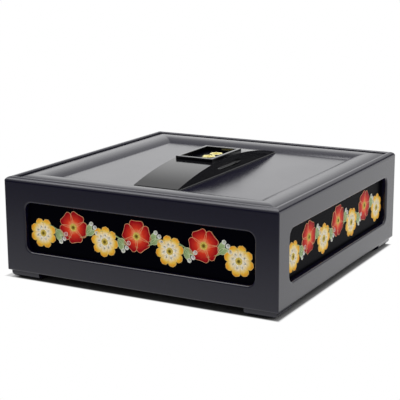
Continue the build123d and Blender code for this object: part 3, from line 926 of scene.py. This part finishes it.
def make_world():
    """A pale studio that the box mirrors, an even fill light, and plain white to look at.

    Behind the box on the left stand a pale wall and a card. The wall turns dark low down towards
    the front, the right-hand wall is bright, and a second card hangs overhead.
    """
    world = bpy.data.worlds.new("studio")
    bpy.context.scene.world = world
    world.use_nodes = True
    tree = world.node_tree
    tree.nodes.clear()
    way = add_node(tree, "TexCoord").outputs["Generated"]
    parts = add_node(tree, "SeparateXYZ", {"Vector": way})
    height = parts.outputs["Z"]
    behind = add_node(tree, "VectorMath", {0: way, 1: BEHIND_WAY}, operation="DOT_PRODUCT")
    turned = add_node(tree, "MapRange", {
        "Value": behind.outputs["Value"], "From Min": WALL_TURN[0], "From Max": WALL_TURN[1],
    })
    low = add_node(tree, "MapRange", {
        "Value": height, "From Min": WALL_LOW[0], "From Max": WALL_LOW[1],
    })
    dark = add_node(tree, "Math", {
        0: turned.outputs["Result"], 1: low.outputs["Result"],
    }, operation="MULTIPLY")
    left = add_node(tree, "MapRange", {
        "Value": dark.outputs["Value"], "To Min": STUDIO_WALLS, "To Max": STUDIO_DARK,
    })
    # The right-hand wall is bright above a dark strip low down.
    under = add_node(tree, "MapRange", {
        "Value": height, "From Min": STRIP_TOP[0], "From Max": STRIP_TOP[1],
    })
    over = add_node(tree, "MapRange", {
        "Value": height, "From Min": STRIP_FOOT[0], "From Max": STRIP_FOOT[1],
    })
    strip = add_node(tree, "Math", {
        0: under.outputs["Result"], 1: over.outputs["Result"],
    }, operation="MULTIPLY")
    right = add_node(tree, "MapRange", {
        "Value": strip.outputs["Value"], "To Min": STUDIO_RIGHT, "To Max": STUDIO_DUSK,
    })
    walls = add_node(tree, "MapRange", {
        "Value": parts.outputs["X"], "From Min": WALL_SEAM[0], "From Max": WALL_SEAM[1],
        "To Min": left.outputs["Result"], "To Max": right.outputs["Result"],
    })
    facing = add_node(tree, "VectorMath", {0: way, 1: BACKDROP_WAY}, operation="DOT_PRODUCT")
    card = add_node(tree, "MapRange", {
        "Value": facing.outputs["Value"],
        "From Min": BACKDROP_EDGE[0], "From Max": BACKDROP_EDGE[1], "To Max": BACKDROP_CARD,
    })
    above = add_node(tree, "VectorMath", {0: way, 1: OVERHEAD_WAY}, operation="DOT_PRODUCT")
    overhead = add_node(tree, "MapRange", {
        "Value": above.outputs["Value"],
        "From Min": OVERHEAD_EDGE[0], "From Max": OVERHEAD_EDGE[1], "To Max": OVERHEAD_CARD,
    })
    cards = add_node(tree, "Math", {
        0: card.outputs["Result"], 1: overhead.outputs["Result"],
    }, operation="ADD")
    strength = add_node(tree, "Math", {
        0: walls.outputs["Result"], 1: cards.outputs["Value"],
    }, operation="ADD")
    studio = add_node(tree, "Background", {"Color": WHITE, "Strength": strength.outputs["Value"]})
    fill = add_node(tree, "Background", {"Color": WHITE, "Strength": STUDIO_FILL})
    white = add_node(tree, "Background", {"Color": WHITE, "Strength": 1.0})
    path = add_node(tree, "LightPath")
    mirrored = add_node(tree, "MixShader", {
        "Fac": path.outputs["Is Glossy Ray"],
        1: fill.outputs["Background"], 2: studio.outputs["Background"],
    })
    seen = add_node(tree, "Math", {
        0: path.outputs["Is Camera Ray"], 1: path.outputs["Is Transmission Ray"],
    }, operation="MAXIMUM")
    whole = add_node(tree, "MixShader", {
        "Fac": seen.outputs["Value"], 1: mirrored.outputs["Shader"], 2: white.outputs["Background"],
    })
    add_node(tree, "OutputWorld", {"Surface": whole.outputs["Shader"]})


def make_floor():
    """A white floor with a shadow painted dark under the box, plain white beyond, and a painted
    glow in reflections.
    """
    mesh = bmesh.new()
    bmesh.ops.create_grid(mesh, x_segments=1, y_segments=1, size=FLOOR_SIZE / 2)
    data = bpy.data.meshes.new("floor")
    mesh.to_mesh(data)
    mesh.free()
    floor = bpy.data.objects.new("floor", data)
    bpy.context.scene.collection.objects.link(floor)
    material, tree = new_material("white_floor")
    place = add_node(tree, "NewGeometry").outputs["Position"]
    away = add_node(tree, "SeparateXYZ", {
        "Vector": add_node(tree, "VectorMath", {0: place}, operation="ABSOLUTE").outputs["Vector"],
    })
    # The footprint reaches a little further across than from front to back.
    across = add_node(tree, "Math", {
        0: away.outputs["X"], 1: FOOTPRINT_SIDE,
    }, operation="SUBTRACT")
    reach = add_node(tree, "Math", {
        0: across.outputs["Value"], 1: away.outputs["Y"],
    }, operation="MAXIMUM")
    far = add_node(tree, "MapRange", {
        "Value": reach.outputs["Value"], "From Min": FOOTPRINT_EDGE, "From Max": FOOTPRINT_END,
    })
    # Painted shadow: under the box the floor's own colour is made dark, over the shadow that the
    # lights cast there. It is painted lighter along its right and left, beside the feet, where
    # light comes in.
    way = add_node(tree, "SeparateXYZ", {"Vector": place})
    shadow = add_node(tree, "MapRange", {
        "Value": way.outputs["X"],
        "From Min": SHADOW_RIGHT_EDGE[0], "From Max": SHADOW_RIGHT_EDGE[1],
        "To Min": SHADOW_DEPTH, "To Max": SHADOW_RIGHT,
    })
    sides = add_node(tree, "MapRange", {
        "Value": way.outputs["X"],
        "From Min": SHADOW_LEFT_EDGE[0], "From Max": SHADOW_LEFT_EDGE[1],
        "To Min": 1.0, "To Max": shadow.outputs["Result"],
    })
    painted_shadow_colour = add_node(tree, "MapRange", {
        "Value": far.outputs["Result"], "To Min": sides.outputs["Result"],
    })
    paper = add_node(tree, "BsdfDiffuse", {"Color": painted_shadow_colour.outputs["Result"]})
    # Painted shade: on the left the white that is seen is dimmed to pale grey a little way out from
    # the box.
    shifted = add_node(tree, "Math", {0: way.outputs["X"], 1: SHADE_LEFT / 2}, operation="ADD")
    span = add_node(tree, "Math", {0: shifted.outputs["Value"]}, operation="ABSOLUTE")
    trimmed = add_node(tree, "Math", {
        0: span.outputs["Value"], 1: SHADE_LEFT / 2,
    }, operation="SUBTRACT")
    beyond = add_node(tree, "Math", {
        0: trimmed.outputs["Value"], 1: away.outputs["Y"],
    }, operation="MAXIMUM")
    pale = add_node(tree, "MapRange", {
        "Value": beyond.outputs["Value"], "From Min": FOOTPRINT_EDGE, "From Max": FOOTPRINT_END,
        "To Min": SHADE_TONE,
    })
    glow = add_node(tree, "Emission", {"Color": WHITE, "Strength": pale.outputs["Result"]})
    path = add_node(tree, "LightPath")
    seen = add_node(tree, "Math", {
        0: path.outputs["Is Camera Ray"], 1: path.outputs["Is Transmission Ray"],
    }, operation="MAXIMUM")
    fade = add_node(tree, "Math", {
        0: seen.outputs["Value"], 1: far.outputs["Result"],
    }, operation="MULTIPLY")
    shown = add_node(tree, "MixShader", {
        "Fac": fade.outputs["Value"], 1: paper.outputs["BSDF"], 2: glow.outputs["Emission"],
    })
    # Painted reflection: for reflections the floor glows with a strength set by place, not by
    # light.
    # It darkens towards the camera, and on the right of the box it is brighter, beyond a painted
    # shadow of the box there.
    near = add_node(tree, "MapRange", {
        "Value": way.outputs["Y"],
        "From Min": MIRROR_NEAR_EDGE[0], "From Max": MIRROR_NEAR_EDGE[1],
        "To Min": MIRROR_NEAR[0], "To Max": MIRROR_NEAR[1],
    })
    faint = add_node(tree, "MapRange", {
        "Value": way.outputs["Y"],
        "From Min": MIRROR_FAINT_EDGE[0], "From Max": MIRROR_FAINT_EDGE[1],
        "To Min": MIRROR_FAINT,
    })
    cast = add_node(tree, "MapRange", {
        "Value": way.outputs["Y"],
        "From Min": MIRROR_CAST_EDGE[0], "From Max": MIRROR_CAST_EDGE[1],
        "To Min": MIRROR_CAST[0], "To Max": MIRROR_CAST[1],
    })
    inner = add_node(tree, "MapRange", {
        "Value": way.outputs["X"],
        "From Min": MIRROR_INNER_EDGE[0], "From Max": MIRROR_INNER_EDGE[1],
        "To Min": 1.0, "To Max": cast.outputs["Result"],
    })
    right = add_node(tree, "MapRange", {
        "Value": way.outputs["X"],
        "From Min": MIRROR_RIGHT_EDGE[0], "From Max": MIRROR_RIGHT_EDGE[1],
        "To Min": inner.outputs["Result"], "To Max": MIRROR_RIGHT,
    })
    forward = add_node(tree, "Math", {
        0: near.outputs["Result"], 1: faint.outputs["Result"],
    }, operation="MULTIPLY")
    painted_reflection_strength = add_node(tree, "Math", {
        0: forward.outputs["Value"], 1: right.outputs["Result"],
    }, operation="MULTIPLY")
    painted_reflection_glow = add_node(tree, "Emission", {"Color": WHITE, "Strength": painted_reflection_strength.outputs["Value"]})
    mirrored = add_node(tree, "Math", {
        0: path.outputs["Is Glossy Ray"], 1: far.outputs["Result"],
    }, operation="MULTIPLY")
    whole = add_node(tree, "MixShader", {
        "Fac": mirrored.outputs["Value"], 1: shown.outputs["Shader"], 2: painted_reflection_glow.outputs["Emission"],
    })
    finish_material(tree, whole.outputs["Shader"])
    floor.data.materials.append(material)


def make_softbox():
    """One large softbox overhead."""
    light = bpy.data.lights.new("softbox", "AREA")
    light.shape = "SQUARE"
    light.size = SOFTBOX_SIZE
    light.energy = SOFTBOX_RADIANCE * pi * SOFTBOX_SIZE ** 2
    lamp = bpy.data.objects.new("softbox", light)
    bpy.context.scene.collection.objects.link(lamp)
    lamp.location = (0, SOFTBOX_BACK, SOFTBOX_HEIGHT)


make_camera()
make_world()
make_floor()
make_softbox()
bpy.context.scene.view_settings.view_transform = "Standard"
